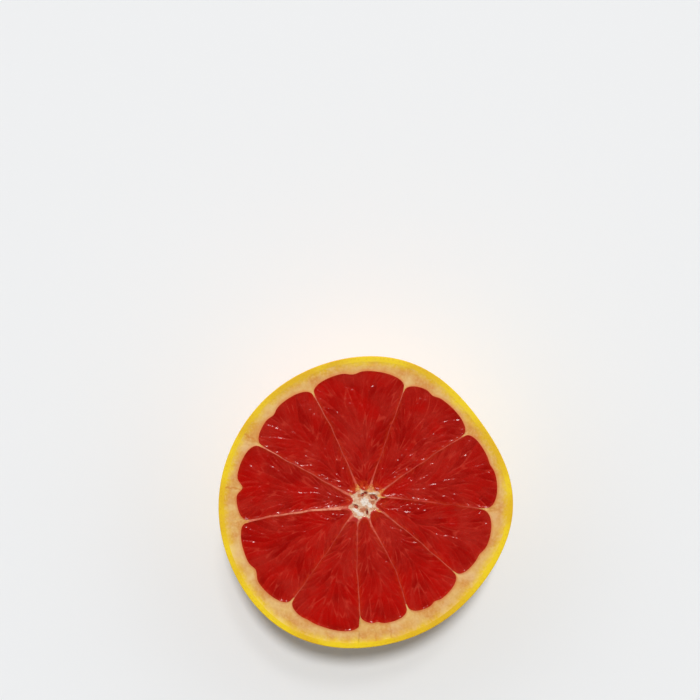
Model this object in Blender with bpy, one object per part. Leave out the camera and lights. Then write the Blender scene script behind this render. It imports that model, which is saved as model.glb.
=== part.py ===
"""Half of a red-fleshed pomelo, cut across its core and lying on its dome with the cut face up.

The half has three kinds of piece: the yellow rind, the pale pith with its thin membranes and
core, and ten segments of juice sacs that sit in the pockets between the membranes.

Units are metres and +Z is up. The origin is the middle of the small flat spot that the half
rests on. Seen from above, angle 0 is +X and angles run anticlockwise.
"""

import math

import bmesh
import bpy

MM = 0.001

# The dome: its mean radius at the cut, its height, and how full its shoulders are.
CUT_RADIUS = 54.0 * MM
CUT_HEIGHT = 48.0 * MM
DOME_DEPTH = 48.6 * MM
SHOULDER_FULLNESS = 0.94

# The cut edge isn't quite round. Each wave has its count, its height and the angle of its crest.
EDGE_WAVES = (
    (1, 1.1 * MM, -164.0),
    (2, 0.7 * MM, 43.0),
    (3, 0.75 * MM, -12.7),
    (4, 0.5 * MM, -11.6),
    (5, 0.3 * MM, 4.0),
    (6, 0.25 * MM, 3.5),
)

# Layers, from the outside in, and the gap that neighbouring pieces keep.
RIND_THICKNESS = 1.9 * MM
FLESH_DEPTH = 40.0 * MM
MEMBRANE_THICKNESS = 0.8 * MM
FIT_GAP = 0.3 * MM

# Membranes: the angle of each at the pith, the angle at the core, and how far it bows sideways.
MEMBRANE_OUTER_RADIUS = 45.9 * MM
MEMBRANE_INNER_RADIUS = 9.3 * MM
MEMBRANES = (
    (-3.2, 12.6, 0.0 * MM),
    (34.4, 37.3, 0.4 * MM),
    (71.5, 75.2, 0.0 * MM),
    (116.0, 118.0, -0.6 * MM),
    (151.7, 154.4, 0.0 * MM),
    (189.0, 192.6, -0.8 * MM),
    (232.8, 224.0, 0.3 * MM),
    (267.6, 249.0, -0.6 * MM),
    (290.5, 283.3, 1.8 * MM),
    (321.2, 328.0, 0.4 * MM),
)

# Segments, one from each membrane to the next: the reach of its first and second lobe, the
# share of its width where the notch between the lobes lies, the notch's depth and the radius
# at which its inner tip starts.
SEGMENTS = (
    (49.0 * MM, 47.7 * MM, 0.54, 0.5 * MM, 6.6 * MM),
    (47.3 * MM, 47.6 * MM, 0.64, 0.9 * MM, 6.2 * MM),
    (48.7 * MM, 48.5 * MM, 0.55, 1.0 * MM, 5.3 * MM),
    (48.2 * MM, 47.9 * MM, 0.58, 0.9 * MM, 6.2 * MM),
    (48.8 * MM, 48.1 * MM, 0.58, 2.4 * MM, 5.7 * MM),
    (48.8 * MM, 49.8 * MM, 0.51, 1.5 * MM, 7.2 * MM),
    (49.0 * MM, 48.6 * MM, 0.30, 0.3 * MM, 8.3 * MM),
    (44.8 * MM, 45.0 * MM, 0.36, 0.6 * MM, 6.0 * MM),
    (45.0 * MM, 45.1 * MM, 0.44, 0.7 * MM, 4.6 * MM),
    (45.7 * MM, 47.5 * MM, 0.39, 0.6 * MM, 4.2 * MM),
)
NOTCH_WIDTH = 0.07
OUTER_CORNER_DROP = 4.5 * MM
INNER_CORNER_RISE = 3.0 * MM
CORNER_SHARE = 0.36
OUTER_ROUNDNESS = 2.8
INNER_ROUNDNESS = 2.0

# Juice sacs on the cut face, larger than life: the sacs' rows are staggered like bricks.
SAC_CREST = 0.1 * MM
SAC_VALLEY = 0.75 * MM
SAC_ROWS_EACH = 3

# Mesh fineness.
DOME_SIDES = 60
RIND_RINGS = 13
LINING_RINGS = 7
SEGMENT_COLUMNS = 12
SEGMENT_ROWS = 9
SEGMENT_LATITUDES = (24.0, 46.0, 64.0, 77.0)
POCKET_HEADROOM = 2.0 * MM

YELLOW_RIND = (0.86, 0.55, 0.03)
PALE_PITH = (0.80, 0.53, 0.24)
RED_FLESH = (0.42, 0.015, 0.01)


def polar(radius, angle):
    """A point on the plan, from a radius and an angle in radians."""
    return radius * math.cos(angle), radius * math.sin(angle)


def between(a, b, share):
    """The value this share of the way from a to b."""
    return a + (b - a) * share


def edge_wave(angle):
    """How far the cut edge stands out of its mean radius at this angle."""
    return sum(
        height * math.cos(count * (angle - math.radians(crest)))
        for count, height, crest in EDGE_WAVES
    )


def dome_ring(bm, inset, latitude):
    """Vertices round the dome at this latitude, on the surface that lies inset under its skin."""
    shrink = math.cos(latitude) ** SHOULDER_FULLNESS
    height = CUT_HEIGHT - (DOME_DEPTH - inset) * math.sin(latitude)
    ring = []
    for side in range(DOME_SIDES):
        angle = 2 * math.pi * side / DOME_SIDES
        radius = (CUT_RADIUS + edge_wave(angle) - inset) * shrink
        ring.append(bm.verts.new((*polar(radius, angle), height)))
    return ring


def join_rings(bm, upper, lower):
    """A band of quads between two rings that run anticlockwise, facing away from the axis."""
    for here in range(len(upper)):
        after = (here + 1) % len(upper)
        bm.faces.new((upper[here], lower[here], lower[after], upper[after]))


def membrane_point(index, radius, sideways):
    """A point on a membrane's middle line at this radius, moved sideways, anticlockwise if positive."""
    outer_angle, inner_angle, bow = MEMBRANES[index % len(MEMBRANES)]
    start = polar(MEMBRANE_INNER_RADIUS, math.radians(inner_angle))
    end = polar(MEMBRANE_OUTER_RADIUS, math.radians(outer_angle))
    length = math.dist(start, end)
    along = ((end[0] - start[0]) / length, (end[1] - start[1]) / length)
    share = (radius - MEMBRANE_INNER_RADIUS) / (MEMBRANE_OUTER_RADIUS - MEMBRANE_INNER_RADIUS)
    aside = sideways + bow * math.sin(math.pi * min(max(share, 0.0), 1.0))
    x = between(start[0], end[0], share) - along[1] * aside
    y = between(start[1], end[1], share) + along[0] * aside
    return x, y


def rounded(share, roundness):
    """0 at both ends of a side and 1 over its middle, with round shoulders."""
    return (1 - abs(2 * share - 1) ** roundness) ** (1 / roundness)


def lobe_reach(index, share):
    """How far from the core the segment's flesh reaches, this share of the way across it."""
    first, second, notch, depth, _ = SEGMENTS[index]
    blend = 1 / (1 + math.exp(-(share - notch) / NOTCH_WIDTH))
    return between(first, second, blend) - depth * math.exp(-(((share - notch) / NOTCH_WIDTH) ** 2))


def arc_between(start, end, share, middle_radius, roundness):
    """A point on a round-shouldered arc that runs from one corner of a segment to the other."""
    first = math.atan2(start[1], start[0])
    turn = (math.atan2(end[1], end[0]) - first) % (2 * math.pi)
    corner = between(math.hypot(*start), math.hypot(*end), share)
    radius = between(corner, middle_radius, rounded(share, roundness))
    return polar(radius, first + turn * share)


class SegmentPlan:
    """The plan of one segment: a patch whose share across and share outwards both run from 0 to 1."""

    def __init__(self, index, shrink=1.0, grow=0.0):
        self.index = index
        self.shrink = shrink
        self.grow = grow
        self.tip = SEGMENTS[index][4] - grow
        span = min(SEGMENTS[index][:2]) * shrink + grow - self.tip
        self.inner = self.tip + min(INNER_CORNER_RISE, CORNER_SHARE * span)
        self.outer = self.tip + span - min(OUTER_CORNER_DROP, CORNER_SHARE * span)
        self.aside = MEMBRANE_THICKNESS / 2 + FIT_GAP - grow

    def side(self, which, outwards):
        radius = between(self.inner, self.outer, outwards)
        sideways = self.aside if which == 0 else -self.aside
        return membrane_point(self.index + which, radius, sideways)

    def outer_edge(self, across):
        reach = lobe_reach(self.index, across) * self.shrink + self.grow
        return arc_between(self.side(0, 1), self.side(1, 1), across, reach, OUTER_ROUNDNESS)

    def inner_edge(self, across):
        return arc_between(self.side(0, 0), self.side(1, 0), across, self.tip, INNER_ROUNDNESS)

    def point(self, across, outwards):
        """The patch between the four edges, as a Coons surface blends them."""
        edges = (
            (1 - outwards, self.inner_edge(across)),
            (outwards, self.outer_edge(across)),
            (1 - across, self.side(0, outwards)),
            (across, self.side(1, outwards)),
            (-(1 - across) * (1 - outwards), self.side(0, 0)),
            (-across * (1 - outwards), self.side(1, 0)),
            (-(1 - across) * outwards, self.side(0, 1)),
            (-across * outwards, self.side(1, 1)),
        )
        return tuple(sum(weight * point[axis] for weight, point in edges) for axis in (0, 1))


def eased(step, steps):
    """Even shares from 0 to 1, drawn a little towards both ends, where the corners are round."""
    share = step / steps
    return between(share, (1 - math.cos(math.pi * share)) / 2, 0.6)


def boundary_shares():
    """Shares (across, outwards) round a segment's edge, anticlockwise."""
    out = [(0.0, eased(row, SEGMENT_ROWS)) for row in range(SEGMENT_ROWS)]
    over = [(eased(column, SEGMENT_COLUMNS), 1.0) for column in range(SEGMENT_COLUMNS)]
    back = [(1.0, 1.0 - outwards) for _, outwards in out]
    home = [(1.0 - across, 0.0) for across, _ in over]
    return out + over + back + home


def sac_relief(column, row):
    """How far a point of a segment's cut face lies under the cut, on a sac's crest or between sacs."""
    edge = column in (0, SEGMENT_COLUMNS) or row in (0, SEGMENT_ROWS)
    stagger = (column // 2) % 2 * (SAC_ROWS_EACH // 2 + 1)
    on_crest = column % 2 == 1 and (row + stagger) % SAC_ROWS_EACH != 0
    return SAC_CREST if on_crest and not edge else SAC_VALLEY


def loft_segment(bm, index, rim, grow):
    """Walls and floor of a segment or of its pocket, hung from a rim that is already in the mesh."""
    for latitude in SEGMENT_LATITUDES:
        angle = math.radians(latitude)
        plan = SegmentPlan(index, math.cos(angle) ** SHOULDER_FULLNESS, grow)
        height = CUT_HEIGHT - (FLESH_DEPTH + grow) * math.sin(angle)
        ring = [bm.verts.new((*plan.point(*shares), height)) for shares in boundary_shares()]
        join_rings(bm, rim, ring)
        rim = ring
    bm.faces.new(reversed(rim))


def finish_object(bm, name, material):
    """Makes the mesh into a named object with its faces out, shaded smooth but for its cut edges."""
    bmesh.ops.recalc_face_normals(bm, faces=bm.faces)
    mesh = bpy.data.meshes.new(name)
    bm.to_mesh(mesh)
    bm.free()
    mesh.materials.append(material)
    mesh.shade_smooth()
    mesh.set_sharp_from_angle(angle=math.radians(40))
    made = bpy.data.objects.new(name, mesh)
    bpy.context.scene.collection.objects.link(made)
    return made


def principled(name, colour, roughness):
    material = bpy.data.materials.new(name)
    material.use_nodes = True
    shader = material.node_tree.nodes["Principled BSDF"]
    shader.inputs["Base Color"].default_value = (*colour, 1.0)
    shader.inputs["Roughness"].default_value = roughness
    shader.inputs["Metallic"].default_value = 0.0
    return material


def build_rind(material):
    """The yellow skin: a bowl of even thickness whose outside is cut flat where it rests."""
    bm = bmesh.new()
    rest_latitude = math.asin(CUT_HEIGHT / DOME_DEPTH)
    lining_end = math.radians(84.0)
    skin = [
        dome_ring(bm, 0.0, rest_latitude * ring / (RIND_RINGS - 1)) for ring in range(RIND_RINGS)
    ]
    lining = [
        dome_ring(bm, RIND_THICKNESS, lining_end * ring / (LINING_RINGS - 1))
        for ring in range(LINING_RINGS)
    ]
    for upper, lower in zip(skin, skin[1:]):
        join_rings(bm, upper, lower)
    for upper, lower in zip(lining, lining[1:]):
        join_rings(bm, lower, upper)
    join_rings(bm, lining[0], skin[0])
    bm.faces.new(reversed(skin[-1]))
    bm.faces.new(lining[-1])
    return finish_object(bm, "rind", material)


def build_pocket(index, material):
    """The cutter for one segment's pocket, which reaches above the cut so that it opens there."""
    bm = bmesh.new()
    plan = SegmentPlan(index, grow=FIT_GAP)
    outline = [plan.point(*shares) for shares in boundary_shares()]
    top = [bm.verts.new((x, y, CUT_HEIGHT + POCKET_HEADROOM)) for x, y in outline]
    rim = [bm.verts.new((x, y, CUT_HEIGHT)) for x, y in outline]
    bm.faces.new(top)
    join_rings(bm, top, rim)
    loft_segment(bm, index, rim, FIT_GAP)
    return finish_object(bm, f"pocket_{index + 1:02d}", material)


def build_pith(material):
    """The white inner rind, the membranes and the core in one body, with a pocket for each segment."""
    pockets = bpy.data.collections.new("pockets")
    bpy.context.scene.collection.children.link(pockets)
    for index in range(len(SEGMENTS)):
        cutter = build_pocket(index, material)
        cutter.hide_render = True
        cutter.display_type = "WIRE"
        bpy.context.scene.collection.objects.unlink(cutter)
        pockets.objects.link(cutter)

    bm = bmesh.new()
    inset = RIND_THICKNESS + FIT_GAP
    dome_end = math.radians(84.0)
    rings = [
        dome_ring(bm, inset, dome_end * ring / (LINING_RINGS - 1)) for ring in range(LINING_RINGS)
    ]
    bm.faces.new(rings[0])
    for upper, lower in zip(rings, rings[1:]):
        join_rings(bm, upper, lower)
    bm.faces.new(reversed(rings[-1]))
    pith = finish_object(bm, "pith", material)

    carve = pith.modifiers.new("carve pockets", "BOOLEAN")
    carve.operation = "DIFFERENCE"
    carve.operand_type = "COLLECTION"
    carve.collection = pockets
    carve.solver = "EXACT"
    return pith


def build_segment(index, material):
    """One segment of flesh: a cut face quilted with juice sacs, over walls that follow its pocket."""
    bm = bmesh.new()
    plan = SegmentPlan(index)
    grid = []
    for column in range(SEGMENT_COLUMNS + 1):
        line = []
        for row in range(SEGMENT_ROWS + 1):
            x, y = plan.point(eased(column, SEGMENT_COLUMNS), eased(row, SEGMENT_ROWS))
            line.append(bm.verts.new((x, y, CUT_HEIGHT - sac_relief(column, row))))
        grid.append(line)
    for here, after in zip(grid, grid[1:]):
        for row in range(SEGMENT_ROWS):
            bm.faces.new((here[row], here[row + 1], after[row + 1], after[row]))
    rim = grid[0][:-1] + [line[-1] for line in grid[:-1]]
    rim += grid[-1][:0:-1] + [line[0] for line in grid[:0:-1]]
    loft_segment(bm, index, rim, 0.0)
    return finish_object(bm, f"segment_{index + 1:02d}", material)


def build_half():
    """Clears the scene, builds every piece and hangs them all on one empty at the rest spot."""
    for old in list(bpy.data.objects):
        bpy.data.objects.remove(old, do_unlink=True)
    rind_skin = principled("yellow rind", YELLOW_RIND, 0.35)
    white_pith = principled("pale pith", PALE_PITH, 0.6)
    red_flesh = principled("red flesh", RED_FLESH, 0.2)
    pieces = [build_rind(rind_skin), build_pith(white_pith)]
    pieces += [build_segment(index, red_flesh) for index in range(len(SEGMENTS))]
    half = bpy.data.objects.new("half_fruit", None)
    bpy.context.scene.collection.objects.link(half)
    for piece in pieces:
        piece.parent = half


build_half()
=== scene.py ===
# %% [markdown]
# # Half a ruby-fleshed pomelo
# A citrus fruit that is cut across its core shows all that it is made of: a thin yellow rind, a
# cream layer of pith, ten pockets of red juice sacs, the membranes between them and a spongy core.
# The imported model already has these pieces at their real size. This script dresses each of them
# in a finer skin of the same form, and gives it a finish worked out from procedural textures.

# %% Load the fixed frame
import math

import bmesh
import bpy
import numpy as np
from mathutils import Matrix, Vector


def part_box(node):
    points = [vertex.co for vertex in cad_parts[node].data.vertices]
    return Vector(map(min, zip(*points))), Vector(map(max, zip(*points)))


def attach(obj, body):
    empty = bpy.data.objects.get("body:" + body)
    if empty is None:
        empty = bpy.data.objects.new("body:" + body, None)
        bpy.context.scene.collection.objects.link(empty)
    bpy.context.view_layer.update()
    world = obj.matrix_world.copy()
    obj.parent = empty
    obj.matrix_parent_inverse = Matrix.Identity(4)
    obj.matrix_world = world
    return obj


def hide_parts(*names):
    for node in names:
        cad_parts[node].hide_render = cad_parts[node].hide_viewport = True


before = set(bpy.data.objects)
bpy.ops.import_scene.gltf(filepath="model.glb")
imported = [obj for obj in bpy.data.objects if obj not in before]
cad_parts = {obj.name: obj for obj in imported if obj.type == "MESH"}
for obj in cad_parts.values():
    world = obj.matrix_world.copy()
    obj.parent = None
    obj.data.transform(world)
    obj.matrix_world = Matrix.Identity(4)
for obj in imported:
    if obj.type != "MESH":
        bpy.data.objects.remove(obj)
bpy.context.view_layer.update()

MM = 0.001
print("nodes:", sorted(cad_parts))

# %% [markdown]
# ## A short way to wire nodes
# Every material and every Geometry Nodes tree below is a set of small nodes whose sockets are
# joined. Writing each link out by hand hides what a tree does, so one helper makes a node, gives
# it its settings and fills its inputs, either with a value or with another node's output.

# %% The wiring helper


class Wiring:
    """A node tree, with short ways to add the nodes that this script uses most."""

    def __init__(self, tree):
        self.tree = tree

    def node(self, kind, inputs=None, **settings):
        made = self.tree.nodes.new(kind)
        for name, value in settings.items():
            setattr(made, name, value)
        for socket, value in (inputs or {}).items():
            self.feed(made.inputs[socket], value)
        return made

    def feed(self, socket, value):
        if isinstance(value, bpy.types.NodeSocket):
            self.tree.links.new(value, socket)
        else:
            socket.default_value = value

    def math(self, operation, first, second=0.0):
        inputs = {0: first, 1: second}
        return self.node("ShaderNodeMath", inputs, operation=operation).outputs[0]

    def times(self, first, second):
        return self.math("MULTIPLY", first, second)

    def plus(self, first, second):
        return self.math("ADD", first, second)

    def minus(self, first, second):
        return self.math("SUBTRACT", first, second)

    def vector_math(self, operation, first, second=None, output=0):
        inputs = {0: first} if second is None else {0: first, 1: second}
        return self.node("ShaderNodeVectorMath", inputs, operation=operation).outputs[output]

    def scaled(self, vector, factor):
        inputs = {0: vector, "Scale": factor}
        return self.node("ShaderNodeVectorMath", inputs, operation="SCALE").outputs[0]

    def remap(self, value, low, high, to_low=0.0, to_high=1.0):
        """A soft step: to_low as far as low, to_high from high on, and smooth between them."""
        inputs = {0: value, 1: low, 2: high, 3: to_low, 4: to_high}
        kind = "ShaderNodeMapRange"
        return self.node(kind, inputs, interpolation_type="SMOOTHSTEP").outputs[0]

    def blend(self, factor, first, second):
        inputs = {0: factor, 6: first, 7: second}
        return self.node("ShaderNodeMix", inputs, data_type="RGBA").outputs[2]

    def noise(self, vector, scale, detail=2.0, roughness=0.5):
        inputs = {"Vector": vector, "Scale": scale, "Detail": detail, "Roughness": roughness}
        return self.node("ShaderNodeTexNoise", inputs).outputs[0]

    def voronoi(self, vector, scale, randomness=1.0):
        inputs = {"Vector": vector, "Scale": scale, "Randomness": randomness}
        return self.node("ShaderNodeTexVoronoi", inputs)

    def along_surface(self, point, middle, normal):
        """How far a point is from a middle, without the part of the way that leads off the surface."""
        apart = self.vector_math("SUBTRACT", point, middle)
        sideways = self.vector_math("CROSS_PRODUCT", apart, normal)
        return self.vector_math("LENGTH", sideways, output="Value")


def srgb(red, green, blue):
    """A colour read off a screen, from 0 to 255, as the linear values that shaders work in."""
    linear = []
    for part in (red, green, blue):
        share = part / 255
        linear.append(share / 12.92 if share <= 0.04045 else ((share + 0.055) / 1.055) ** 2.4)
    return (*linear, 1.0)


# %% [markdown]
# ## Effects that several finishes share
# Soft blotches, fine streaks along the grain and small round glands each appear in more than one
# layer of the fruit. Each is a node group with named inputs, so a finish can place it with its own
# sizes. The groups put out masks alone; the colours and the shader stay in the material.

# %% A way to start a group


def new_group(name, inputs, outputs, kind_out="NodeSocketFloat"):
    """A shader group with these float or vector inputs, and its wiring and its two end nodes."""
    group = bpy.data.node_groups.new(name, "ShaderNodeTree")
    for label, start in inputs.items():
        kind = "NodeSocketVector" if start is None else "NodeSocketFloat"
        socket = group.interface.new_socket(name=label, in_out="INPUT", socket_type=kind)
        if start is not None:
            socket.default_value = start
    for label in outputs:
        group.interface.new_socket(name=label, in_out="OUTPUT", socket_type=kind_out)
    wire = Wiring(group)
    return wire, wire.node("NodeGroupInput").outputs, wire.node("NodeGroupOutput").inputs


# %% Blotches, streaks and glands
OFF_GRID = (0.2, 0.7, 0.43)


def mottle_group():
    """Soft blotches: 0 and 1 with a blurred edge between them."""
    sizes = {"Vector": None, "Blotch Size": 5.0, "Low": 0.4, "High": 0.6}
    wire, given, put = new_group("soft mottle", sizes, ["Mask"])
    in_blotches = wire.scaled(given["Vector"], wire.math("DIVIDE", 1.0, given["Blotch Size"]))
    # The cut is a plane, and noise fades on planes at whole numbers, so it is moved off them.
    off_grid = wire.vector_math("ADD", in_blotches, OFF_GRID)
    wire.feed(put["Mask"], wire.remap(wire.noise(off_grid, 1.0, 3.0), given["Low"], given["High"]))
    return wire.tree


def streak_group():
    """Fine streaks that run along the first part of the vector."""
    sizes = {"Vector": None, "Length": 4.0, "Width": 0.5, "Low": 0.5, "High": 0.7}
    wire, given, put = new_group("grain streaks", sizes, ["Mask"])
    along = wire.math("DIVIDE", 1.0, given["Length"])
    across = wire.math("DIVIDE", 1.0, given["Width"])
    stretch = wire.node("ShaderNodeCombineXYZ", {0: along, 1: across, 2: 1.0}).outputs[0]
    vector = wire.vector_math("MULTIPLY", given["Vector"], stretch)
    wire.feed(put["Mask"], wire.remap(wire.noise(vector, 1.0, 2.0), given["Low"], given["High"]))
    return wire.tree


def gland_group():
    """Round glands, evenly strewn: a mask of the glands, and a number for each that is its own."""
    sizes = {"Vector": None, "Normal": None, "Spacing": 1.9, "Radius": 0.4, "Softness": 0.25}
    wire, given, put = new_group("round glands", sizes, ["Mask", "Own Number"])
    cells = wire.voronoi(given["Vector"], wire.math("DIVIDE", 1.0, given["Spacing"]), 0.8)
    distance = wire.along_surface(given["Vector"], cells.outputs["Position"], given["Normal"])
    edge = wire.plus(given["Radius"], given["Softness"])
    wire.feed(put["Mask"], wire.remap(distance, given["Radius"], edge, 1.0, 0.0))
    number = wire.node("ShaderNodeSeparateColor", {0: cells.outputs["Color"]}).outputs[0]
    wire.feed(put["Own Number"], number)
    return wire.tree


MOTTLE = mottle_group()
STREAKS = streak_group()
GLANDS = gland_group()
print("groups:", MOTTLE.name, STREAKS.name, GLANDS.name)

# %% [markdown]
# Where the peel is cut, its colour fades from skin yellow to pith cream over four millimetres, and
# no line shows where the rind ends and the pith starts. The two are separate pieces here, so both
# take this colour from one group, which knows only how deep under the skin a point lies.

# %% The fade through the cut peel
PEEL_YELLOW = srgb(234, 200, 8)
PEEL_AMBER = srgb(220, 174, 4)
PITH_CREAM = srgb(217, 170, 98)
PITH_TAN = srgb(207, 143, 72)
FADE_START = 1.2
FADE_END = 5.0
FADE_WANDER = 3.0


def peel_group():
    """The cut peel's colour, from its depth under the skin in millimetres."""
    inputs = {"Vector": None, "Depth": 0.0}
    wire, given, put = new_group("cut peel", inputs, ["Color"], "NodeSocketColor")
    place = given["Vector"]
    yellow = wire.blend(wire.remap(wire.noise(place, 0.05), 0.38, 0.62), PEEL_YELLOW, PEEL_AMBER)
    cream = wire.blend(wire.remap(wire.noise(place, 0.2), 0.36, 0.64), PITH_CREAM, PITH_TAN)
    uneven = wire.times(wire.minus(wire.noise(place, 0.3, 3.0), 0.5), FADE_WANDER)
    fade = wire.remap(wire.plus(given["Depth"], uneven), FADE_START, FADE_END)
    wire.feed(put["Color"], wire.blend(fade, yellow, cream))
    return wire.tree


PEEL = peel_group()

# %% A way to start a material


class Finish(Wiring):
    """A material's wiring, which works in millimetres so that every size below is a real one."""

    def __init__(self, name):
        self.material = bpy.data.materials.new(name)
        self.material.use_nodes = True
        super().__init__(self.material.node_tree)
        self.shader = self.tree.nodes["Principled BSDF"]
        coordinates = self.node("ShaderNodeTexCoord").outputs["Object"]
        self.place = self.scaled(coordinates, 1 / MM)
        self.normal = self.node("ShaderNodeNewGeometry").outputs["Normal"]

    def attribute(self, name, output="Fac"):
        return self.node("ShaderNodeAttribute", attribute_name=name).outputs[output]

    def group(self, tree, output="Mask", **inputs):
        made = self.node("ShaderNodeGroup", node_tree=tree)
        for name, value in inputs.items():
            self.feed(made.inputs[name.replace("_", " ")], value)
        return made.outputs[output]

    def mottle(self, size, low, high, vector=None):
        """Blotches of this size. The noise is 0 up to low and 1 from high on."""
        vector = vector or self.place
        return self.group(MOTTLE, Vector=vector, Blotch_Size=size, Low=low, High=high)

    def streaks(self, vector, length, width, low, high):
        return self.group(STREAKS, Vector=vector, Length=length, Width=width, Low=low, High=high)

    def glands(self, spacing, output="Mask", **sizes):
        inputs = {"Vector": self.place, "Normal": self.normal, "Spacing": spacing, **sizes}
        return self.group(GLANDS, output, **inputs)

    def near(self, place, inner, outer):
        """1 within the inner distance of a place in millimetres, and 0 outside the outer one."""
        away = self.vector_math("DISTANCE", self.place, place, output="Value")
        return self.remap(away, inner, outer, 1.0, 0.0)

    def inverse(self, mask):
        return self.minus(1.0, mask)

    def layered(self, colour, *layers):
        """A colour with others laid over it: each has its mask, and the most that it covers."""
        for mask, most, over in layers:
            colour = self.blend(self.times(mask, most), colour, over)
        return colour

    def bump(self, height, depth, under=None):
        """A bump whose depth is in millimetres, on top of another one if that is given."""
        inputs = {"Strength": 1.0, "Distance": depth * MM, "Height": height}
        if under is not None:
            inputs["Normal"] = under
        return self.node("ShaderNodeBump", inputs).outputs[0]

    def set(self, **inputs):
        """Fills the shader's own sockets, with constants or with other nodes' outputs."""
        for name, value in inputs.items():
            self.feed(self.shader.inputs[name.replace("_", " ")], value)


# %% [markdown]
# ## The rind's finish
# The skin is waxy and goes from lemon yellow to orange in soft clouds. Oil glands lie under it
# every two millimetres and show as small dark-orange dots. Ripe skin also has brown specks and a
# pale russet graze. The same material covers the cut edge, where the colour fades from skin yellow
# into pith cream. Attributes on the mesh say which part is which: skin is 1 outside and 0 on the
# cut, and depth is the way from the skin in millimetres.

# %% Skin colours
SKIN_YELLOW = srgb(246, 204, 34)
SKIN_ORANGE = srgb(234, 150, 12)
SKIN_GOLD = srgb(240, 176, 26)
GLAND_ORANGE = srgb(206, 100, 0)
SPECK_BROWN = srgb(104, 50, 18)
RUSSET_PALE = srgb(236, 200, 110)
RUSSET_DARK = srgb(216, 166, 70)
SCRATCH_TAN = srgb(222, 142, 14)
HALO_CREAM = srgb(240, 208, 116)
SCAR_BROWN = srgb(112, 66, 24)
CUT_GLAND_GOLD = srgb(206, 146, 12)
GLAND_SPACING = 1.9
SPECK_SPACING = 3.4
CUT_GLAND_DEPTH = 0.9

# %% Marks on the skin
GRAZE_PLACE = (34.0, -33.0, 22.0)
GRAZE_REACH = 26.0
SCAR_PLACE = (-8.8, -50.2, 31.4)
SCRATCH_PLACE = (8.9, -50.4, 33.0)
SCRATCH_ACROSS = (-0.28, 0.0, 0.96)


def graze_mask(wire):
    """A rubbed patch with a ragged edge and sound islands in it."""
    away = wire.vector_math("DISTANCE", wire.place, GRAZE_PLACE, output="Value")
    wander = wire.times(wire.noise(wire.place, 0.16, 4.0, 0.6), -GRAZE_REACH)
    patch = wire.remap(wire.plus(away, wander), -1.6, -3.0)
    return wire.times(patch, wire.mottle(4.0, 0.36, 0.42))


def scratch_mask(wire):
    """A thin line, seven millimetres to either side of its middle."""
    apart = wire.vector_math("SUBTRACT", wire.place, SCRATCH_PLACE)
    aside = wire.vector_math("DOT_PRODUCT", apart, SCRATCH_ACROSS, "Value")
    line = wire.remap(wire.math("ABSOLUTE", aside), 0.1, 0.7, 1.0, 0.0)
    return wire.times(line, wire.near(SCRATCH_PLACE, 3.0, 8.0))


def skin_colours(wire, dots, graze):
    """Clouds of yellow and orange, with the glands, the specks and the marks laid over them."""
    clouds = wire.mottle(34.0, 0.36, 0.66)
    own = wire.remap(wire.glands(GLAND_SPACING, "Own Number"), 0, 1, 0.5, 1)
    dots = wire.times(dots, wire.times(wire.remap(clouds, 0.0, 1.0, 0.4, 0.6), own))
    chosen = wire.math("GREATER_THAN", wire.glands(SPECK_SPACING, "Own Number"), 0.6)
    specks = wire.times(wire.glands(SPECK_SPACING, Radius=0.12, Softness=0.24), chosen)
    halo = wire.times(wire.near(SCAR_PLACE, 1.0, 3.0), wire.mottle(1.2, 0.36, 0.62))
    return wire.layered(
        wire.blend(clouds, SKIN_YELLOW, SKIN_ORANGE),
        (wire.mottle(7.0, 0.35, 0.75), 0.3, SKIN_GOLD),
        (dots, 1.0, GLAND_ORANGE),
        (wire.times(specks, wire.mottle(15.0, 0.52, 0.62)), 0.85, SPECK_BROWN),
        (graze, 0.55, wire.blend(wire.mottle(1.6, 0.3, 0.7), RUSSET_PALE, RUSSET_DARK)),
        (scratch_mask(wire), 0.5, SCRATCH_TAN),
        (halo, 0.8, HALO_CREAM),
        (wire.near(SCAR_PLACE, 0.4, 1.1), 1.0, SCAR_BROWN),
    )


# %% The finish of the rind


def rind_finish():
    wire = Finish("waxy rind")
    skin = wire.attribute("skin")
    depth = wire.attribute("depth")
    dots = wire.glands(GLAND_SPACING, Radius=0.14, Softness=0.42)
    graze = graze_mask(wire)
    band = wire.remap(wire.math("ABSOLUTE", wire.minus(depth, CUT_GLAND_DEPTH)), 0.7, 0.2)
    cut_glands = wire.times(wire.glands(1.6, Radius=0.2, Softness=0.35), band)
    cut_peel = wire.group(PEEL, "Color", Vector=wire.place, Depth=depth)
    cut_colour = wire.layered(cut_peel, (cut_glands, 0.3, CUT_GLAND_GOLD))
    dull = wire.math("MAXIMUM", graze, wire.inverse(skin))
    uneven = wire.bump(wire.noise(wire.place, 0.9, 3.0), 0.1)
    wire.set(
        Base_Color=wire.blend(skin, cut_colour, skin_colours(wire, dots, graze)),
        Roughness=wire.remap(dull, 0.0, 1.0, 0.36, 0.6),
        Coat_Weight=wire.remap(dull, 0.0, 1.0, 0.5, 0.04),
        Normal=wire.bump(wire.times(wire.times(dots, skin), -1.0), 0.14, uneven),
        Coat_Roughness=0.12,
        Specular_IOR_Level=0.3,
    )
    return wire.material


RIND_FINISH = rind_finish()

# %% [markdown]
# ## The pith's finish
# Pith is dry and spongy where it is thick, and a wet, see-through skin where it is a membrane.
# One material covers the whole body: the cream ring, mottled with tan; the membranes, which take
# the flesh's orange pink; and the core, nearly white in its middle, with dark hollows and orange
# points where the membranes spring from it. The mesh's attributes say where each one is.

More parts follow.
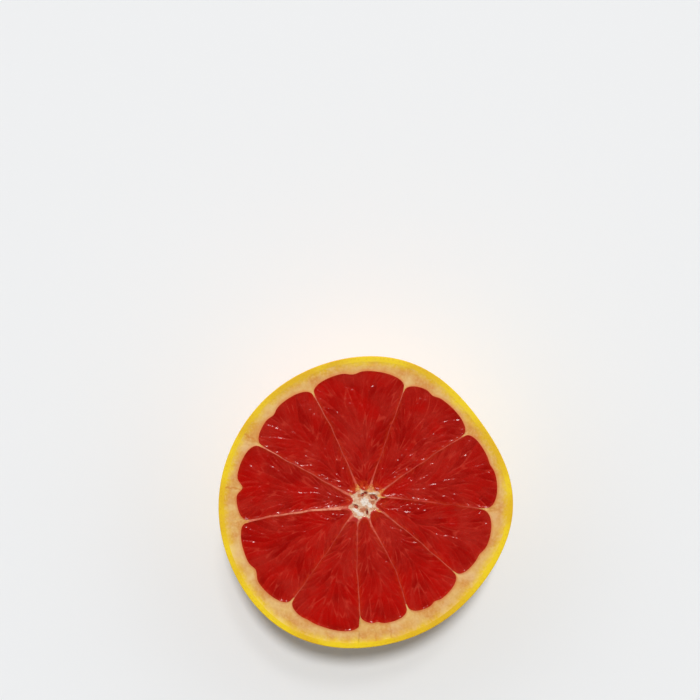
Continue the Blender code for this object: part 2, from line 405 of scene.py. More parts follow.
# %% Pith colours
PITH_PALE = srgb(238, 204, 142)
PITH_STAIN = srgb(212, 142, 56)
PITH_CLOUD = srgb(232, 198, 146)
BESIDE_FLESH = srgb(208, 112, 64)
CREASE_BROWN = srgb(196, 122, 46)
BLUSH_DEEP = srgb(170, 28, 18)
BLUSH_LIGHT = srgb(192, 52, 36)
MEMBRANE_PALE = srgb(232, 142, 112)
MEMBRANE_EDGE = srgb(164, 18, 11)
CORE_CREAM = srgb(222, 190, 160)
CORE_PINK = srgb(206, 150, 116)
CORE_TAN = srgb(186, 112, 78)
CORE_WHITE = srgb(230, 218, 204)
CORE_FIBRE = srgb(186, 124, 94)
HOLLOW_DARK = srgb(136, 32, 20)
HOLLOW_LIGHT = srgb(196, 98, 70)
ORANGE_PALE = srgb(222, 156, 76)
ORANGE_DEEP = srgb(200, 84, 36)

# %% Creases and torn edges
# Each crease: its angle in degrees, its width in millimetres and how strongly it shows.
CREASES = ((150.6, 0.6, 0.6), (173.8, 0.45, 0.65), (274.0, 0.6, 0.4), (281.0, 0.5, 0.4))
CREASE_START = 45.0
CREASE_FULL = 48.0


def crease(wire, degrees, width):
    """A mask of a thin line that runs outwards from the core at this angle."""
    turn = math.radians(degrees)
    across, along = (-math.sin(turn), math.cos(turn), 0.0), (math.cos(turn), math.sin(turn), 0.0)
    wobble = wire.times(wire.minus(wire.noise(wire.place, 0.5), 0.5), 2.2)
    off_line = wire.vector_math("DOT_PRODUCT", wire.place, across, "Value")
    forward = wire.vector_math("DOT_PRODUCT", wire.place, along, "Value")
    aside = wire.math("ABSOLUTE", wire.plus(off_line, wobble))
    line = wire.remap(aside, 0.08, width, 1.0, 0.0)
    return wire.times(line, wire.remap(forward, CREASE_START, CREASE_FULL))


def torn(wire, name):
    """A mask from an attribute, with a ragged edge in place of its smooth one."""
    ragged = wire.times(wire.minus(wire.noise(wire.place, 1.3, 4.0, 0.65), 0.5), 2.0)
    return wire.remap(wire.plus(wire.attribute(name), ragged), 0.35, 0.75)


# %% Ring, membranes and core


def ring_colours(wire):
    """The thick pith: the cut peel's fade, mottled, tinged beside the flesh, and creased."""
    aside = wire.vector_math("ADD", wire.place, (40.0, 90.0, 0.0))
    return wire.layered(
        wire.group(PEEL, "Color", Vector=wire.place, Depth=wire.attribute("depth")),
        (wire.mottle(0.9, 0.35, 0.7), 0.25, PITH_PALE),
        (wire.mottle(9.0, 0.52, 0.68), 0.3, PITH_STAIN),
        (wire.mottle(8.0, 0.48, 0.72, aside), 0.5, PITH_CLOUD),
        (wire.attribute("near_flesh"), 0.75, BESIDE_FLESH),
        *((crease(wire, angle, width), most, CREASE_BROWN) for angle, width, most in CREASES),
    )


def membrane_colours(wire):
    """The membranes: red with juice, pale in broken lengths, and deep red beside the flesh."""
    line = wire.remap(wire.attribute("from_flesh"), 0.0, 0.14)
    blush = wire.blend(wire.mottle(2.5, 0.4, 0.65), BLUSH_DEEP, BLUSH_LIGHT)
    broken = wire.remap(wire.mottle(1.8, 0.34, 0.6), 0.0, 1.0, 0.5, 1.15)
    pale = wire.times(wire.attribute("pale"), broken)
    return wire.blend(line, MEMBRANE_EDGE, wire.blend(pale, blush, MEMBRANE_PALE))


def core_colours(wire):
    """The spongy core: tan and white patches, fibres and dark hollows."""
    return wire.layered(
        wire.blend(wire.mottle(1.0, 0.35, 0.65), CORE_CREAM, CORE_PINK),
        (torn(wire, "tan"), 1.0, CORE_TAN),
        (torn(wire, "white"), 1.0, CORE_WHITE),
        (wire.streaks(wire.place, 0.5, 0.5, 0.5, 0.7), 0.45, CORE_FIBRE),
        (torn(wire, "hollow"), 1.0, wire.blend(wire.mottle(0.9, 0.36, 0.6), HOLLOW_DARK, HOLLOW_LIGHT)),
    )


# %% The finish of the pith


def pith_finish():
    wire = Finish("cream pith")
    membrane = wire.attribute("membrane")
    orange = wire.blend(wire.mottle(0.8, 0.36, 0.58), ORANGE_PALE, ORANGE_DEEP)
    wet = wire.times(membrane, wire.inverse(wire.attribute("core")))
    soft = wire.bump(wire.noise(wire.place, 1.1, 3.0), 0.06)
    beads = wire.times(wire.noise(wire.place, 1.8), wet)
    wire.set(
        Base_Color=wire.layered(
            ring_colours(wire),
            (membrane, 1.0, membrane_colours(wire)),
            (torn(wire, "core"), 1.0, core_colours(wire)),
            (torn(wire, "orange"), 0.8, orange),
        ),
        Roughness=wire.remap(wet, 0.0, 1.0, 0.7, 0.45),
        Coat_Weight=wire.times(wet, 0.3),
        Normal=wire.bump(beads, 0.05, soft),
        Specular_IOR_Level=0.15,
        Coat_Roughness=0.08,
    )
    return wire.material


PITH_FINISH = pith_finish()

# %% [markdown]
# ## The flesh's finish
# Juice sacs are clear bags of red juice, so light goes in, comes back out red, and the thin walls
# between the sacs show as pale pink lines. Subsurface scattering does the first. For the walls and
# the streaks inside a sac, the mesh carries the sac pattern in attributes: how far the nearest
# wall is, a tone for each sac, and each point's place along and across its own sac, which turns
# with the grain of the flesh as no straight texture could.

# %% Flesh colours
FLESH_DEEP = srgb(148, 10, 6)
FLESH_BRIGHT = srgb(168, 18, 11)
FLESH_ROSE = srgb(174, 38, 28)
FLESH_RUBY = srgb(180, 10, 5)
STREAK_PINK = srgb(186, 48, 36)
WALL_PINK = srgb(198, 62, 46)
# Painted light: the warm orange of light shining through the pith into the flesh, painted in as colour.
PAINTED_GLOW_ORANGE = srgb(208, 74, 30)

# %% The finish of the flesh


def flesh_finish():
    wire = Finish("ruby flesh")
    sac_place = wire.attribute("sac_place", "Vector")
    far = wire.vector_math("ADD", wire.place, (70.0, 20.0, 0.0))
    walls = wire.remap(wire.attribute("sac_wall"), 0.0, 0.3, 1.0, 0.0)
    wall_strength = wire.remap(wire.mottle(4.5, 0.46, 0.68), 0.0, 1.0, 0.05, 0.5)
    # Painted light: orange laid over the flesh where light through the pith would warm it.
    glow = wire.times(wire.attribute("glow"), wire.mottle(1.6, 0.3, 0.62))
    ripples = wire.bump(wire.streaks(sac_place, 2.2, 0.9, 0.3, 0.8), 0.008)
    wire.set(
        Base_Color=wire.layered(
            wire.blend(wire.attribute("sac_tone"), FLESH_DEEP, FLESH_BRIGHT),
            (wire.mottle(9.0, 0.4, 0.68), 0.6, FLESH_ROSE),
            (wire.mottle(15.0, 0.5, 0.66, far), 0.6, FLESH_RUBY),
            (wire.streaks(sac_place, 9.0, 1.9, 0.45, 0.8), 0.4, STREAK_PINK),
            (wire.times(walls, wall_strength), 1.0, WALL_PINK),
            (glow, 0.8, PAINTED_GLOW_ORANGE),
        ),
        Normal=wire.bump(wire.noise(wire.place, 1.4, 1.0), 0.04, ripples),
        Roughness=0.5,
        Specular_IOR_Level=0.0,
        Coat_Weight=0.19,
        Coat_Roughness=0.14,
        Subsurface_Weight=0.25,
        Subsurface_Scale=1.5 * MM,
        Subsurface_Radius=(1.0, 0.25, 0.15),
    )
    return wire.material


FLESH_FINISH = flesh_finish()
print("finishes:", [made.name for made in (RIND_FINISH, PITH_FINISH, FLESH_FINISH)])

# %% [markdown]
# ## The plan of the fruit
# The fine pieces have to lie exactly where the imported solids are, so the plan is worked out from
# the same few dimensions: the edge's waves, the line of each membrane and the reach of each
# segment. Arrays replace single numbers here, because the fine meshes have many points. The edge
# is drawn 0.04 mm smaller than the solid's, so that a smooth curve stays within its flat facets.

# %% Dome and edge
CUT_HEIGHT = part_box("rind")[1][2]
CUT_RADIUS = 53.96 * MM
DOME_DEPTH = CUT_HEIGHT + 0.6 * MM
SHOULDER_FULLNESS = 0.94
RIND_THICKNESS = 2.05 * MM
# Each wave of the edge: how many crests, its height in millimetres, and its first crest's angle.
EDGE_WAVES = (
    (1, 1.1, -164.0),
    (2, 0.7, 43.0),
    (3, 0.75, -12.7),
    (4, 0.5, -11.6),
    (5, 0.3, 4.0),
    (6, 0.25, 3.5),
)


def polar(radius, angle):
    """Points on the plan, from radii and angles in radians."""
    return np.stack(np.broadcast_arrays(radius * np.cos(angle), radius * np.sin(angle)), axis=-1)


def edge_wave(angle):
    """How far the cut edge stands out of its mean radius at these angles."""
    waves = [
        height * MM * np.cos(count * (angle - math.radians(crest)))
        for count, height, crest in EDGE_WAVES
    ]
    return np.sum(waves, axis=0)


def dome(angle, latitude, inset):
    """Points of the dome's surface, or of the one that lies inset under it."""
    shrink = np.cos(latitude) ** SHOULDER_FULLNESS
    flat = polar((CUT_RADIUS + edge_wave(angle) - inset) * shrink, angle)
    height = CUT_HEIGHT - (DOME_DEPTH - inset) * np.sin(latitude)
    return raised(flat, height)


def raised(flat, height):
    """Points on the plan with this height."""
    height = np.broadcast_to(height, flat.shape[:-1])
    return np.concatenate([flat, height[..., None]], axis=-1)


# %% Sizes of the membranes and the segments
MEMBRANE_OUTER_RADIUS = 45.9 * MM
MEMBRANE_INNER_RADIUS = 9.3 * MM
MEMBRANE_HALF = 0.18 * MM
WANDER = 0.22 * MM
WANDER_LENGTH = 2.8 * MM
# Each membrane: its angle at the pith and at the core, its bow in millimetres, and its thickness.
MEMBRANES = (
    (-3.2, 12.6, 0.0, 1.0),
    (34.4, 37.3, 0.4, 1.0),
    (71.5, 75.2, 0.0, 0.9),
    (116.0, 118.0, -0.6, 1.1),
    (151.7, 154.4, 0.0, 1.3),
    (189.0, 192.6, -0.8, 1.9),
    (232.8, 224.0, 0.3, 0.9),
    (267.6, 249.0, -0.6, 1.1),
    (290.5, 283.3, 1.8, 1.1),
    (321.2, 328.0, 0.4, 1.0),
)
# Each segment, in millimetres: the reach of its two lobes, the notch's place from 0 to 1 and its
# depth, and how far the segment's tip is from the core's middle.
SEGMENTS = (
    (49.0, 47.7, 0.54, 0.5, 6.6),
    (47.3, 47.6, 0.64, 0.9, 6.2),
    (48.7, 48.5, 0.55, 1.0, 5.3),
    (48.2, 47.9, 0.58, 0.9, 6.2),
    (48.8, 48.1, 0.58, 2.4, 5.7),
    (48.8, 49.8, 0.51, 1.5, 7.2),
    (49.0, 48.6, 0.30, 0.3, 8.3),
    (44.8, 45.0, 0.36, 0.6, 6.0),
    (45.0, 45.1, 0.44, 0.7, 4.6),
    (45.7, 47.5, 0.39, 0.6, 4.2),
)
NOTCH_WIDTH = 0.07
OUTER_CORNER_DROP = 4.5 * MM
INNER_CORNER_RISE = 3.0 * MM
CORNER_SHARE = 0.36
OUTER_ROUNDNESS = 2.8
INNER_ROUNDNESS = 2.0
FLESH_GROW = 0.15 * MM
print("segments:", len(SEGMENTS), "and membranes:", len(MEMBRANES))

# %% The line of a membrane


def between(a, b, share):
    return a + (b - a) * share


def membrane_share(radius):
    """How far out along a membrane a radius is: 0 at the core and 1 at the pith."""
    return (radius - MEMBRANE_INNER_RADIUS) / (MEMBRANE_OUTER_RADIUS - MEMBRANE_INNER_RADIUS)


def membrane_point(index, radius, sideways):
    """Points on a membrane's middle line at these radii, moved sideways."""
    outer_angle, inner_angle, bow, _ = MEMBRANES[index % len(MEMBRANES)]
    start = polar(MEMBRANE_INNER_RADIUS, math.radians(inner_angle))
    end = polar(MEMBRANE_OUTER_RADIUS, math.radians(outer_angle))
    along = (end - start) / np.linalg.norm(end - start)
    across = np.array([-along[1], along[0]])
    share = membrane_share(radius)
    wander = 0.6 * np.sin(radius / WANDER_LENGTH + 2.1 * index)
    wander += 0.4 * np.sin(2.3 * radius / WANDER_LENGTH + 1.3 * index)
    aside = sideways + (bow * MM + WANDER * wander) * np.sin(math.pi * np.clip(share, 0, 1))
    return start + (end - start) * share[..., None] + across * aside[..., None]


def membrane_half(index, radius):
    """Half of a membrane's thickness: it flares where it meets the core and the pith."""
    at_core = np.exp(-np.maximum(radius - MEMBRANE_INNER_RADIUS, 0) / (4.0 * MM))
    at_pith = np.exp(-np.maximum(MEMBRANE_OUTER_RADIUS - radius, 0) / (2.5 * MM))
    weight = MEMBRANES[index % len(MEMBRANES)][3]
    return MEMBRANE_HALF * weight * (1 + 1.2 * at_core + 0.9 * at_pith)


# %% The plan of one segment


class SegmentPlan:
    """The plan of one segment: a patch whose share across and share outwards run from 0 to 1."""

    def __init__(self, index, shrink=1.0):
        first, second, self.notch, depth, tip = SEGMENTS[index]
        self.index = index
        self.shrink = shrink
        self.lobes = (first * MM, second * MM)
        self.notch_depth = depth * MM
        self.tip = tip * MM - FLESH_GROW
        span = min(self.lobes) * shrink + FLESH_GROW - self.tip
        self.inner = self.tip + min(INNER_CORNER_RISE, CORNER_SHARE * span)
        self.outer = self.tip + span - min(OUTER_CORNER_DROP, CORNER_SHARE * span)

    def side(self, which, outwards):
        radius = between(self.inner, self.outer, np.asarray(outwards, dtype=float))
        half = membrane_half(self.index + which, radius)
        return membrane_point(self.index + which, radius, half if which == 0 else -half)

    def edge(self, across, corners, reach, roundness):
        """A round-shouldered arc from one corner to the other, by way of this radius."""
        first, last = corners
        start = math.atan2(first[1], first[0])
        turn = (math.atan2(last[1], last[0]) - start) % (2 * math.pi)
        corner = between(math.hypot(*first), math.hypot(*last), across)
        shoulder = (1 - np.abs(2 * across - 1) ** roundness) ** (1 / roundness)
        return polar(between(corner, reach, shoulder), start + turn * across)

    def outer_edge(self, across):
        blend = 1 / (1 + np.exp(-(across - self.notch) / NOTCH_WIDTH))
        dip = self.notch_depth * np.exp(-(((across - self.notch) / NOTCH_WIDTH) ** 2))
        reach = (between(*self.lobes, blend) - dip) * self.shrink + FLESH_GROW
        return self.edge(across, (self.side(0, 1), self.side(1, 1)), reach, OUTER_ROUNDNESS)

    def inner_edge(self, across):
        corners = (self.side(0, 0), self.side(1, 0))
        return self.edge(across, corners, self.tip, INNER_ROUNDNESS)

    def patch(self, across, outwards):
        """The points between the four edges, as a Coons surface blends them."""
        a = across[:, None, None]
        o = outwards[None, :, None]
        ends = (1 - o) * self.inner_edge(across)[:, None] + o * self.outer_edge(across)[:, None]
        sides = (1 - a) * self.side(0, outwards)[None] + a * self.side(1, outwards)[None]
        low = (1 - a) * self.side(0, 0) + a * self.side(1, 0)
        high = (1 - a) * self.side(0, 1) + a * self.side(1, 1)
        return ends + sides - (1 - o) * low - o * high

    def ring(self, across, outwards):
        """The patch's outline, anticlockwise from its first inner corner, without a closing point."""
        out = self.outer_edge(across)
        back = self.side(1, outwards)[::-1]
        parts = (self.side(0, outwards)[::-1], self.inner_edge(across), back[::-1], out[::-1])
        return np.concatenate([part[:-1] for part in parts])[::-1]


def eased(steps, strength=0.85):
    """Shares from 0 to 1 that crowd towards both ends, where the corners are round."""
    share = np.linspace(0, 1, steps + 1)
    return between(share, (1 - np.cos(math.pi * share)) / 2, strength)


first_plan = SegmentPlan(0)
print("first segment:", round(first_plan.inner / MM, 1), "to", round(first_plan.outer / MM, 1), "mm")

# %% [markdown]
# ## From sheets of points to one closed mesh
# Each piece is made of sheets: grids of points whose neighbours make quads. Sheets that meet share
# the points on their common edge, so welding equal points turns them into one closed skin. The
# attributes that the finishes read travel with the points.

# %% The sheet collector
WELD = 1e-7


class Sheets:
    """Collects sheets of points and their attributes, and welds them into one mesh object."""

    def __init__(self, *attributes):
        self.points = []
        self.faces = []
        self.values = {name: [] for name in attributes}
        self.count = 0

    def add_points(self, points, **values):
        points = points.reshape(-1, 3)
        self.points.append(points)
        for name, stored in self.values.items():
            given = np.asarray(values.get(name, 0.0), dtype=float)
            if given.ndim > 1 and given.shape[-1] == 3 and given.size == points.size:
                stored.append(given.reshape(-1, 3))
            else:
                stored.append(np.broadcast_to(given.reshape(-1), len(points)).copy())
        start = self.count
        self.count += len(points)
        return start

    def add_grid(self, points, wrap=False, **values):
        """A sheet from a grid of rows and columns. wrap joins its last column to its first."""
        rows, columns = points.shape[:2]
        numbers = self.add_points(points, **values) + np.arange(rows * columns).reshape(rows, columns)
        after = np.roll(numbers, -1, axis=1) if wrap else numbers[:, 1:]
        here = numbers if wrap else numbers[:, :-1]
        quads = np.stack([here[:-1], after[:-1], after[1:], here[1:]], axis=-1)
        self.faces += quads.reshape(-1, 4).tolist()
        return numbers

    def add_cap(self, points, **values):
        """A flat face inside a closed ring of points."""
        start = self.add_points(points, **values)
        self.faces.append(list(range(start, self.count)))

    def add_fan(self, ring_numbers, centre, **values):
        """Triangles from a ring that is already there to a point in its middle."""
        middle = self.add_points(np.asarray(centre, dtype=float), **values)
        for here, after in zip(ring_numbers, np.roll(ring_numbers, -1)):
            self.faces.append([int(here), int(after), middle])

    def weld(self, name, finish, sharp_degrees=40):
        points = np.concatenate(self.points)
        keys = np.round(points / WELD).astype(np.int64)
        _, first, merged = np.unique(keys, axis=0, return_index=True, return_inverse=True)
        merged = merged.reshape(-1)
        faces = []
        for face in self.faces:
            corners = list(dict.fromkeys(merged[face].tolist()))
            if len(corners) > 2:
                faces.append(corners)
        mesh = bpy.data.meshes.new(name)
        mesh.from_pydata(points[first].tolist(), [], faces)
        for attribute, parts in self.values.items():
            kept = np.concatenate(parts)[first]
            kind = "FLOAT_VECTOR" if kept.ndim > 1 else "FLOAT"
            layer = mesh.attributes.new(attribute, kind, "POINT")
            field = "vector" if kept.ndim > 1 else "value"
            layer.data.foreach_set(field, kept.astype(np.float32).reshape(-1))
        point_outwards(mesh)
        mesh.materials.append(finish)
        mesh.shade_smooth()
        mesh.set_sharp_from_angle(angle=math.radians(sharp_degrees))
        made = bpy.data.objects.new(name, mesh)
        bpy.context.scene.collection.objects.link(made)
        return made


def point_outwards(mesh):
    work = bmesh.new()
    work.from_mesh(mesh)
    bmesh.ops.recalc_face_normals(work, faces=work.faces)
    work.to_mesh(mesh)
    work.free()


def report(piece):
    """Prints how large a finished mesh is, and whether it is closed."""
    work = bmesh.new()
    work.from_mesh(piece.data)
    open_edges = sum(1 for edge in work.edges if len(edge.link_faces) != 2)
    triangles = sum(len(face.verts) - 2 for face in work.faces)
    print(f"{piece.name}: {triangles} triangles, {open_edges} open edges")
    work.free()


# %% [markdown]
# ## Two Geometry Nodes trees
# Pits repeat all over the rind, and sacs all over the flesh. Both are made as relief by a tree
# with named inputs, so that one value changes every pit or every sac. The first tree presses
# evenly strewn pits into a surface along its normals, where a mask attribute lets it. The second
# leaves each sac's crown standing, cuts a groove along its walls, sinks it to a level of its own
# and ripples the wet flesh, more in some patches than in others.

# %% A way to build a tree and to apply it


def new_geometry_tree(name, inputs):
    """A Geometry Nodes tree with a geometry in and out, and these named inputs."""
    tree = bpy.data.node_groups.new(name, "GeometryNodeTree")
    tree.interface.new_socket(name="Geometry", in_out="INPUT", socket_type="NodeSocketGeometry")
    tree.interface.new_socket(name="Geometry", in_out="OUTPUT", socket_type="NodeSocketGeometry")
    for label, kind in inputs.items():
        tree.interface.new_socket(name=label, in_out="INPUT", socket_type="NodeSocket" + kind)
    wire = Wiring(tree)
    return wire, wire.node("NodeGroupInput").outputs, wire.node("NodeGroupOutput").inputs


def finish_tree(wire, geometry, given, put):
    """Ends a tree in plain geometry with its material set."""
    plain = wire.node("GeometryNodeRealizeInstances", {0: geometry}).outputs[0]
    dressed = wire.node("GeometryNodeSetMaterial", {0: plain, "Material": given["Finish"]})
    wire.feed(put["Geometry"], dressed.outputs[0])


def run_tree(piece, tree, **values):
    """Runs a tree on a piece with these input values and keeps the result as its plain mesh."""
    modifier = piece.modifiers.new(tree.name, "NODES")
    modifier.node_group = tree
    sockets = {item.name: item.identifier for item in tree.interface.items_tree}
    for label, value in values.items():
        modifier[sockets[label.replace("_", " ")]] = value
    bpy.context.view_layer.update()
    evaluated = piece.evaluated_get(bpy.context.evaluated_depsgraph_get())
    result = bpy.data.meshes.new_from_object(evaluated)
    piece.modifiers.clear()
    piece.data = result
    return piece


def field(wire, name):
    """Reads a named attribute inside a Geometry Nodes tree."""
    inputs = {"Name": name}
    return wire.node("GeometryNodeInputNamedAttribute", inputs, data_type="FLOAT").outputs[0]


# %% The pit tree


def pit_tree():
    sizes = {"Spacing": "Float", "Pit Radius": "Float", "Pit Depth": "Float", "Swell": "Float"}
    kinds = {**sizes, "Mask": "String", "Finish": "Material"}
    wire, given, put = new_geometry_tree("pits in a skin", kinds)
    in_mm = wire.scaled(wire.node("GeometryNodeInputPosition").outputs[0], 1 / MM)
    normal = wire.node("GeometryNodeInputNormal").outputs[0]
    cells = wire.voronoi(in_mm, wire.math("DIVIDE", 1.0, given["Spacing"]), 0.8)
    distance = wire.along_surface(in_mm, cells.outputs["Position"], normal)
    pit = wire.remap(distance, 0.0, given["Pit Radius"], 1.0, 0.0)
    sunk = wire.times(pit, given["Pit Depth"])
    swelling = wire.times(wire.noise(in_mm, 0.22, 2.0), given["Swell"])
    inwards = wire.times(wire.plus(swelling, sunk), field(wire, given["Mask"]))
    offset = wire.scaled(normal, wire.times(inwards, -MM))
    moved = wire.node("GeometryNodeSetPosition", {"Geometry": given["Geometry"], "Offset": offset})
    finish_tree(wire, moved.outputs[0], given, put)
    return wire.tree


PITS = pit_tree()

# %% The sac relief tree


def sac_tree():
    sizes = {"Crown": "Float", "Wall Depth": "Float", "Sinking": "Float", "Ripple": "Float"}
    kinds = {**sizes, "Finish": "Material"}
    wire, given, put = new_geometry_tree("juice sac relief", kinds)
    in_mm = wire.scaled(wire.node("GeometryNodeInputPosition").outputs[0], 1 / MM)
    wall = field(wire, "sac_wall")
    groove = wire.times(wire.remap(wall, 0.0, 0.4, 1.0, 0.0), given["Wall Depth"])
    crown = wire.times(wire.remap(wall, 0.0, 1.0, 1.0, 0.0), given["Crown"])
    level = wire.times(field(wire, "sac_level"), given["Sinking"])
    torn_here = wire.remap(wire.noise(in_mm, 0.13, 2.0), 0.48, 0.62, 0.3, 1.0)
    ripple = wire.times(wire.noise(in_mm, 0.85, 1.5), given["Ripple"])
    ripple = wire.times(ripple, torn_here)
    sunk = wire.plus(wire.plus(groove, level), wire.plus(ripple, crown))
    inside = wire.remap(field(wire, "rim"), 0.0, 1.0)
    lift = wire.times(wire.times(sunk, inside), field(wire, "top"))
    down = wire.node("ShaderNodeCombineXYZ", {2: wire.times(lift, -MM)}).outputs[0]
    moved = wire.node("GeometryNodeSetPosition", {"Geometry": given["Geometry"], "Offset": down})
    finish_tree(wire, moved.outputs[0], given, put)
    return wire.tree


SACS = sac_tree()
print("trees:", PITS.name, "and", SACS.name)

# %% [markdown]
# ## The juice sacs of one segment
# Sacs grow on the walls of their pocket and point to the core, so on the cut they lie like the
# barbs of a feather: they leave the membranes at a slant and turn along the middle of the segment.
# Seeds are strewn over the patch, each takes the grain's direction where it lies, and every point
# of the mesh then belongs to the seed that is nearest when distance counts less along the grain
# than across it. That gives long, pointed cells that bend with the grain, as real sacs do.

# %% Grain and seeds
SAC_HALF_LENGTH = 5.2 * MM
SAC_HALF_WIDTH = 1.1 * MM
SAC_CROWDING = 1.5
SAC_POINTEDNESS = 1.7
SAC_SIZES = (0.55, 1.2)
SAC_VARIETY = (0.85, 1.2)
SAC_TILT = math.radians(6)
MOST_SEEDS = 1500
GRAIN_SPLAY = math.radians(34)
GRAIN_WANDER = math.radians(16)
TINY = 1e-12


def grain_of(patch, across):
    """The grain's direction at each point of a patch, as unit vectors on the plan."""
    outwards = np.gradient(patch, axis=1)
    outwards /= np.linalg.norm(outwards, axis=-1, keepdims=True) + TINY
    lean = 2 * across[:, None] - 1
    turn = GRAIN_SPLAY * np.sign(lean) * np.abs(lean) ** 0.7 * np.ones(patch.shape[:2])
    x, y = patch[..., 0] / MM, patch[..., 1] / MM
    swirl = np.sin(x / 3.9 + np.sin(y / 5.3)) * np.sin(y / 4.7 + 1.3 * np.sin(x / 7.1))
    turn += GRAIN_WANDER * swirl
    cos, sin = np.cos(turn), np.sin(turn)
    x = outwards[..., 0] * cos - outwards[..., 1] * sin
    y = outwards[..., 0] * sin + outwards[..., 1] * cos
    return np.stack([x, y], axis=-1)


def grain_distance(points, grain, seeds, seed_grain, sizes):
    """For each point and seed: distance in sac sizes, and the point's place along and across."""
    apart = points[:, None] - seeds[None]
    mean = grain[:, None] + seed_grain[None]
    mean /= np.linalg.norm(mean, axis=-1, keepdims=True) + TINY
    along = np.sum(apart * mean, axis=-1)
    across = apart[..., 1] * mean[..., 0] - apart[..., 0] * mean[..., 1]
    power = SAC_POINTEDNESS
    reach = np.abs(along / (SAC_HALF_LENGTH * sizes)) ** power
    reach += np.abs(across / (SAC_HALF_WIDTH * sizes)) ** power
    return reach ** (1 / power), along, across


def strew_seeds(points, grain, radius_share, random):
    """Seeds that keep their distance, smaller towards the core."""
    seeds = np.empty((0, 2))
    seed_grain = np.empty((0, 2))
    sizes = np.empty(0)
    for pick in random.permutation(len(points))[:MOST_SEEDS]:
        size = between(*SAC_SIZES, radius_share[pick]) * random.uniform(*SAC_VARIETY)
        if len(seeds):
            point, lean = points[pick : pick + 1], grain[pick : pick + 1]
            gap, _, _ = grain_distance(point, lean, seeds, seed_grain, (sizes + size) / 2)
            if gap.min() < SAC_CROWDING:
                continue
        tilt = random.normal(0, SAC_TILT)
        cos, sin = math.cos(tilt), math.sin(tilt)
        lean = grain[pick] @ np.array([[cos, sin], [-sin, cos]])
        seeds = np.vstack([seeds, points[pick]])
        seed_grain = np.vstack([seed_grain, lean])
        sizes = np.append(sizes, size)
    return seeds, seed_grain, sizes


# %% The sac pattern
SMALLEST_SACS_AT = 8 * MM
SACS_GROW_OVER = 38 * MM


def sac_pattern(index, patch, across):
    """Attributes of the sac that each point of the patch belongs to, and the number of sacs."""
    random = np.random.default_rng(100 + index)
    points = patch.reshape(-1, 2)
    grain = grain_of(patch, across).reshape(-1, 2)
    radius = np.linalg.norm(points, axis=1)
    radius_share = np.clip((radius - SMALLEST_SACS_AT) / SACS_GROW_OVER, 0, 1)
    seeds, seed_grain, sizes = strew_seeds(points, grain, radius_share, random)
    distance, along, sideways = grain_distance(points, grain, seeds, seed_grain, sizes)
    rows = np.arange(len(points))
    nearest = distance.argmin(axis=1)
    first = distance[rows, nearest].copy()
    distance[rows, nearest] = np.inf
    second = distance.min(axis=1)
    wall = (second - first) * SAC_HALF_WIDTH * sizes[nearest] / 2 / MM
    tone = random.uniform(0, 1, len(seeds))
    level = random.uniform(0, 1, len(seeds)) ** 2
    tag = random.uniform(0, 50, len(seeds))
    place = [along[rows, nearest] / MM, sideways[rows, nearest] / MM, tag[nearest]]
    return {
        "sac_wall": np.minimum(wall, 2.0),
        "sac_tone": tone[nearest],
        "sac_level": level[nearest],
        "sac_place": np.stack(place, axis=-1),
    }, len(seeds)


def distance_to_rim(points, ring):
    """Each point's distance to the nearest point of a ring, in millimetres."""
    nearest = np.full(len(points), np.inf)
    for start in range(0, len(ring), 60):
        gap = points[:, None] - ring[None, start : start + 60]
        nearest = np.minimum(nearest, np.sqrt((gap**2).sum(axis=-1)).min(axis=1))
    return nearest / MM


# %% [markdown]
# ## The ten segments
# A segment is a patch of sacs at the cut, and under it walls that follow its pocket down to the
# bottom of the fruit. The walls are hidden while the fruit is whole, but they make the segment a
# closed body that could be lifted out.

# %% The pocket, and the light painted into the flesh round it
FLESH_COLUMNS = 140
FLESH_ROWS = 170
FLESH_TOP = CUT_HEIGHT - 0.05 * MM
FLESH_DEPTH = 40.15 * MM
FLESH_LATITUDES = np.radians([6, 14, 24, 35, 46, 56, 64, 71, 77])
FLESH_ATTRIBUTES = ("top", "rim", "glow", "sac_wall", "sac_tone", "sac_level", "sac_place")
RIM_WIDTH = 3.0


def pocket_rings(index, top, across, outwards, lower=0.0):
    """A pocket's outline at its top and at each latitude below it, or that much lower."""
    rings = [raised(SegmentPlan(index).ring(across, outwards), top)]
    for latitude in FLESH_LATITUDES:
        plan = SegmentPlan(index, math.cos(latitude) ** SHOULDER_FULLNESS)
        height = CUT_HEIGHT - FLESH_DEPTH * math.sin(latitude) - lower
        rings.append(raised(plan.ring(across, outwards), height))
    return rings


def glow_of(points, rim):
    """Painted light: how strongly the light that comes through pale pith warms the flesh next to it,
    painted as orange into the flesh's colour and stronger on the core's far side.
    """
    radius = np.linalg.norm(points, axis=-1) / MM
    upper = np.clip(points[..., 1] / (radius * MM) + 0.4, 0.3, 1)
    near_core = np.clip((9.0 - radius) / 3.0, 0, 1) * upper
    return np.maximum(near_core, 0.4 * np.exp(-rim / 0.5))


# %% Make the segments


def segment_mesh(index):
    across = eased(FLESH_COLUMNS)
    outwards = eased(FLESH_ROWS, 0.5)
    patch = SegmentPlan(index).patch(across, outwards)
    pattern, sac_count = sac_pattern(index, patch, across)
    rings = pocket_rings(index, FLESH_TOP, across, outwards)
    rim = distance_to_rim(patch.reshape(-1, 2), rings[0][:, :2])
    sheets = Sheets(*FLESH_ATTRIBUTES)
    # The glow stored here is painted light: orange for light coming through the pith beside the flesh.
    pattern.update(top=1.0, rim=np.minimum(rim, RIM_WIDTH), glow=glow_of(patch.reshape(-1, 2), rim))
    sheets.add_grid(raised(patch, FLESH_TOP), **pattern)
    wall = np.stack(rings)
    plain = {"rim": RIM_WIDTH, "sac_wall": 1.0}
    sheets.add_grid(wall, wrap=True, sac_place=np.zeros(wall.shape), **plain)
    sheets.add_cap(rings[-1], sac_place=np.zeros(rings[-1].shape), **plain)
    return sheets.weld(f"flesh_{index + 1:02d}", FLESH_FINISH), sac_count


